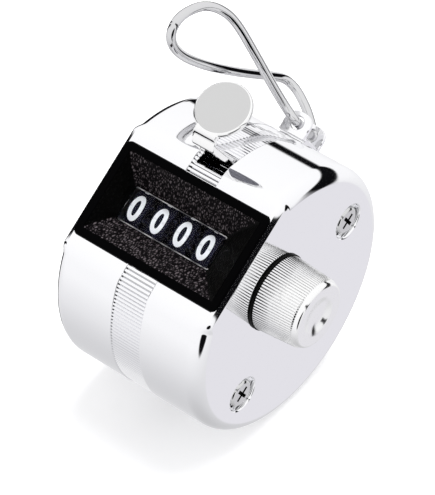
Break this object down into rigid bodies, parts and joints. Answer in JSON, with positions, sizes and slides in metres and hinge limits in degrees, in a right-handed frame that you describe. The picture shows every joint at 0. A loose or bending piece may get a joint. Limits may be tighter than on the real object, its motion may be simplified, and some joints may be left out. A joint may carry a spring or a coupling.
{
  "type": "lap counter",
  "caption": "Round chromed hand tally counter with number wheels behind a windowed bezel, thumb lever, knurled reset knob and wire finger ring.",
  "frame": {"origin": "on the outer face of the left cover, on the axis of the round case", "axes": "+Z along the wheels' axis towards the reset knob, -Y out of the window, -X up for a reader, towards the thumb lever and the ring"},
  "size_m": [0.0534, 0.0479, 0.036],
  "materials": {
    "shell_chrome": "mirror polished plating",
    "wire_chrome": "bright plated wire",
    "knob_chrome": "bright plating over fine ribs",
    "bezel_black": "leather grain with a gloss rim",
    "window_clear": "clear and polished",
    "wheel_dark": "moulded, with off-white numerals",
    "pinion_white": "moulded",
    "plate_steel": "brushed",
    "pin_steel": "turned",
    "screw_nickel": "plated, worn cross recess",
    "brass": "turned",
    "spring_steel": "drawn wire and strip",
    "washer_black": "fibre, black"
  },
  "bodies": {
    "case": {"left_cover": "shell_chrome", "right_cover": "shell_chrome", "centre_band": "shell_chrome", "bezel": "bezel_black", "lens": "window_clear", "left_plate": "plate_steel", "right_plate": "plate_steel", "frame_posts": "brass", "left_screws": "screw_nickel", "right_screws": "screw_nickel", "pinion_shaft": "pin_steel", "lever_pin": "pin_steel", "click_spring": "spring_steel", "shaft_bush": "brass", "knob_washer": "washer_black", "ring_lug": "shell_chrome", "lug_rivet": "pin_steel"},
    "knob": {"reset_knob": "knob_chrome", "reset_shaft": "pin_steel", "shaft_clip": "spring_steel"},
    "units": {"units_wheel": "wheel_dark", "units_ratchet": "brass"},
    "tens": {"tens_wheel": "wheel_dark"},
    "hundreds": {"hundreds_wheel": "wheel_dark"},
    "thousands": {"thousands_wheel": "wheel_dark"},
    "tens_transfer": {"tens_pinion": "pinion_white"},
    "hundreds_transfer": {"hundreds_pinion": "pinion_white"},
    "thousands_transfer": {"thousands_pinion": "pinion_white"},
    "lever": {"thumb_lever": "shell_chrome", "pawl_rivet": "pin_steel", "lever_spring": "spring_steel"},
    "pawl": {"drive_pawl": "plate_steel"},
    "ring": {"finger_ring": "wire_chrome"}
  },
  "joints": [
    {"name": "knob_turn", "type": "hinge", "parent": "case", "child": "knob", "pos_m": [0, -0.0068, 0.012], "axis": [0, 0, 1], "continuous": true},
    {"name": "units_turn", "type": "hinge", "parent": "case", "child": "units", "pos_m": [0, -0.0068, 0.012], "axis": [0, 0, 1], "continuous": true},
    {"name": "tens_turn", "type": "hinge", "parent": "case", "child": "tens", "pos_m": [0, -0.0068, 0.012], "axis": [0, 0, 1], "continuous": true},
    {"name": "hundreds_turn", "type": "hinge", "parent": "case", "child": "hundreds", "pos_m": [0, -0.0068, 0.012], "axis": [0, 0, 1], "continuous": true},
    {"name": "thousands_turn", "type": "hinge", "parent": "case", "child": "thousands", "pos_m": [0, -0.0068, 0.012], "axis": [0, 0, 1], "continuous": true},
    {"name": "tens_pinion_turn", "type": "hinge", "parent": "case", "child": "tens_transfer", "pos_m": [0, 0.00272, 0.012], "axis": [0, 0, 1], "continuous": true},
    {"name": "hundreds_pinion_turn", "type": "hinge", "parent": "case", "child": "hundreds_transfer", "pos_m": [0, 0.00272, 0.012], "axis": [0, 0, 1], "continuous": true},
    {"name": "thousands_pinion_turn", "type": "hinge", "parent": "case", "child": "thousands_transfer", "pos_m": [0, 0.00272, 0.012], "axis": [0, 0, 1], "continuous": true},
    {"name": "lever_press", "type": "hinge", "parent": "case", "child": "lever", "pos_m": [-0.01191, -0.01419, 0.0144], "axis": [0, 0, 1], "range_deg": [0, 18], "stiffness_Nm_per_rad": 0.004, "springref_deg": -17.19, "deforming": ["lever_spring"]},
    {"name": "pawl_swing", "type": "hinge", "parent": "lever", "child": "pawl", "pos_m": [-0.01313, -0.00629, 0.0207], "axis": [0, 0, 1], "range_deg": [-24, 4]},
    {"name": "ring_swing", "type": "hinge", "parent": "case", "child": "ring", "pos_m": [-0.0239, 0.001, 0.0143], "axis": [0, 1, 0], "range_deg": [0, 150]}
  ],
  "couplings": [
    {"joint": "tens_pinion_turn", "follows": "tens_turn", "ratio": -2.5},
    {"joint": "hundreds_pinion_turn", "follows": "hundreds_turn", "ratio": -2.5},
    {"joint": "thousands_pinion_turn", "follows": "thousands_turn", "ratio": -2.5},
    {"joint": "pawl_swing", "follows": "lever_press", "ratio": -1}
  ]
}
